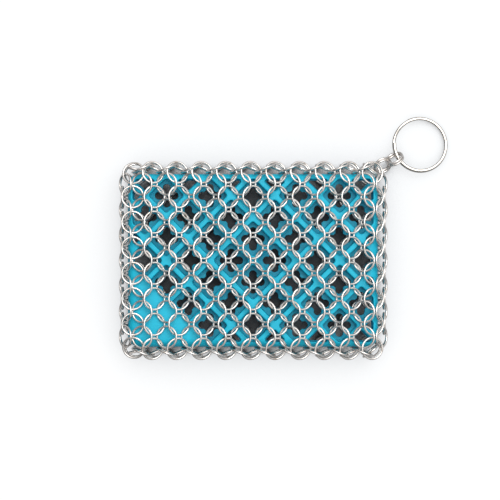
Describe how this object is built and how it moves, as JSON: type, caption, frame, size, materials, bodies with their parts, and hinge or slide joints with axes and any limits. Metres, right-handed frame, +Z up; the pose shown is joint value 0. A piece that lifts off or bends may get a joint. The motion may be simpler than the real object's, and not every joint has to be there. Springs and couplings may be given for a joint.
{
  "type": "pot scrubber",
  "caption": "Palm-size scouring pad: a bag of linked steel rings closed round a moulded silicone lattice block, hung from a split ring by doubled links.",
  "frame": {"origin": "on the table under the middle of the pad", "axes": "+X along the pad towards the end with the split ring, +Y across it towards that corner, +Z up"},
  "size_m": [0.1466, 0.1079, 0.0216],
  "materials": {
    "silicone": "satin moulded silicone",
    "mail_steel": "tumbled stainless wire",
    "link_steel": "tumbled stainless wire",
    "split_ring_steel": "bright plated spring wire"
  },
  "bodies": {
    "pad": {"silicone_core": "silicone", "top_mail_row_01": "mail_steel", "top_mail_row_02": "mail_steel", "top_mail_row_03": "mail_steel", "top_mail_row_04": "mail_steel", "top_mail_row_05": "mail_steel", "top_mail_row_06": "mail_steel", "top_mail_row_07": "mail_steel", "top_mail_row_08": "mail_steel", "top_mail_row_09": "mail_steel", "top_mail_row_10": "mail_steel", "top_mail_row_11": "mail_steel", "top_mail_row_12": "mail_steel", "top_mail_row_13": "mail_steel", "bottom_mail_row_01": "mail_steel", "bottom_mail_row_02": "mail_steel", "bottom_mail_row_03": "mail_steel", "bottom_mail_row_04": "mail_steel", "bottom_mail_row_05": "mail_steel", "bottom_mail_row_06": "mail_steel", "bottom_mail_row_07": "mail_steel", "bottom_mail_row_08": "mail_steel", "bottom_mail_row_09": "mail_steel", "bottom_mail_row_10": "mail_steel", "bottom_mail_row_11": "mail_steel", "bottom_mail_row_12": "mail_steel", "bottom_mail_row_13": "mail_steel", "front_side_mail_row_1": "mail_steel", "front_side_mail_row_2": "mail_steel", "front_side_mail_row_3": "mail_steel", "front_side_mail_row_4": "mail_steel", "front_side_mail_row_5": "mail_steel", "back_side_mail_row_1": "mail_steel", "back_side_mail_row_2": "mail_steel", "back_side_mail_row_3": "mail_steel", "back_side_mail_row_4": "mail_steel", "back_side_mail_row_5": "mail_steel", "right_end_mail_column_1": "mail_steel", "right_end_mail_column_2": "mail_steel", "right_end_mail_column_3": "mail_steel", "left_end_mail_column_1": "mail_steel", "left_end_mail_column_2": "mail_steel", "left_end_mail_column_3": "mail_steel"},
    "inner_link": {"inner_link_a": "link_steel", "inner_link_b": "link_steel"},
    "outer_link": {"outer_link_a": "link_steel", "outer_link_b": "link_steel"},
    "split_ring": {"split_ring": "split_ring_steel"}
  },
  "joints": [
    {"name": "inner_link_swing", "type": "hinge", "parent": "pad", "child": "inner_link", "pos_m": [0.05591, 0.04096, 0.00424], "axis": [0.5319, -0.835, 0.141], "range_deg": [-40, 10]},
    {"name": "outer_link_swing", "type": "hinge", "parent": "inner_link", "child": "outer_link", "pos_m": [0.06116, 0.04415, 0.00478], "axis": [-0.3643, 0.5192, 0.7731], "range_deg": [-36, 36]},
    {"name": "split_ring_swing", "type": "hinge", "parent": "outer_link", "child": "split_ring", "pos_m": [0.06624, 0.04714, 0.0046], "axis": [0.3618, -0.3878, 0.8478], "range_deg": [-26, 34]}
  ]
}
